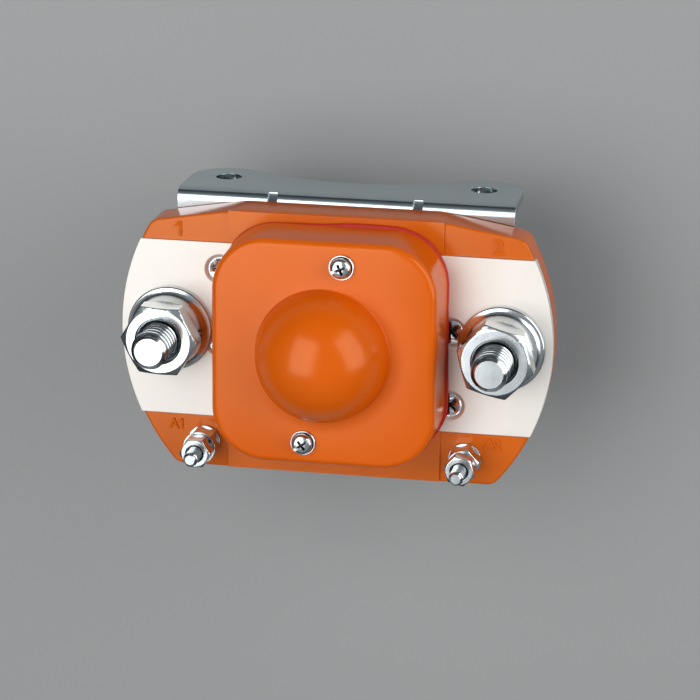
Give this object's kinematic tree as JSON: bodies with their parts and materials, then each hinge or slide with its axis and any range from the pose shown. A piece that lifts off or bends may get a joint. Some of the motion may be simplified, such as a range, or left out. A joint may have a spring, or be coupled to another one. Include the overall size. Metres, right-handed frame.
{
  "type": "dc contactor",
  "caption": "Single pole normally open DC contactor with stud terminals, a domed arc cover, an L bracket and a coil whose plunger pulls a sprung contact bridge shut.",
  "frame": {"origin": "on the plunger axis, at the flat base of the magnet frame", "axes": "+Z along the plunger axis towards the terminals, +Y towards the bracket, +X from the left to the right main terminal"},
  "size_m": [0.1156, 0.0736, 0.0945],
  "materials": {
    "orange_moulding": "glossy moulded thermoset, orange",
    "cover_orange": "glossy moulded cover, orange",
    "nickel_plate": "satin nickel plated copper",
    "zinc_fastener": "bright zinc plated steel",
    "zinc_sheet": "blue-white zinc plated sheet steel",
    "red_silicone": "red silicone",
    "silver_tip": "silver alloy contact tip",
    "copper_bar": "bare copper",
    "copper_wire": "enamelled copper wire",
    "brass_part": "plain brass",
    "black_nylon": "black moulded nylon",
    "coil_tape": "black polyester tape",
    "spring_steel": "drawn spring wire",
    "fibre": "vulcanised fibre"
  },
  "bodies": {
    "contactor": {"head_moulding": "orange_moulding", "contact_plate_left": "nickel_plate", "contact_plate_right": "nickel_plate", "fixed_tips": "silver_tip", "plate_screws": "zinc_fastener", "terminal_stud_left": "zinc_fastener", "terminal_stud_right": "zinc_fastener", "flange_nut_left": "zinc_fastener", "flange_nut_right": "zinc_fastener", "arc_cover": "cover_orange", "cover_gasket": "red_silicone", "cover_screws": "zinc_fastener", "cover_washers": "zinc_fastener", "coil_stud_left": "zinc_fastener", "coil_stud_right": "zinc_fastener", "coil_base_washers": "zinc_fastener", "coil_lower_nuts": "zinc_fastener", "coil_flat_washer": "zinc_fastener", "coil_spring_washers": "zinc_fastener", "coil_upper_nuts": "zinc_fastener", "coil_tags": "brass_part", "mounting_bracket": "zinc_sheet", "pole_plate": "zinc_sheet", "magnet_frame": "zinc_sheet", "frame_screws": "zinc_fastener", "coil_bobbin": "black_nylon", "coil_winding": "copper_wire", "coil_tape": "coil_tape", "guide_tube": "brass_part", "fixed_core": "zinc_sheet", "core_shim": "brass_part", "stop_washer": "fibre", "return_spring": "spring_steel"},
    "armature": {"plunger": "zinc_sheet", "push_rod": "zinc_fastener", "insulating_bush": "black_nylon", "contact_spring": "spring_steel", "spring_seat": "zinc_fastener", "lock_nut": "zinc_fastener"},
    "bridge": {"contact_bridge": "copper_bar", "bridge_tips": "silver_tip"}
  },
  "joints": [
    {"name": "armature_slide", "type": "slide", "parent": "contactor", "child": "armature", "axis": [0, 0, -1], "range_m": [0, 0.0045], "stiffness_N_per_m": 800, "springref_m": -0.006, "deforming": ["return_spring"]},
    {"name": "bridge_slide", "type": "slide", "parent": "armature", "child": "bridge", "axis": [0, 0, 1], "range_m": [0, 0.0015], "deforming": ["contact_spring"]}
  ],
  "couplings": [
    {"joint": "bridge_slide", "follows": "armature_slide", "ratio": 0.33333}
  ]
}
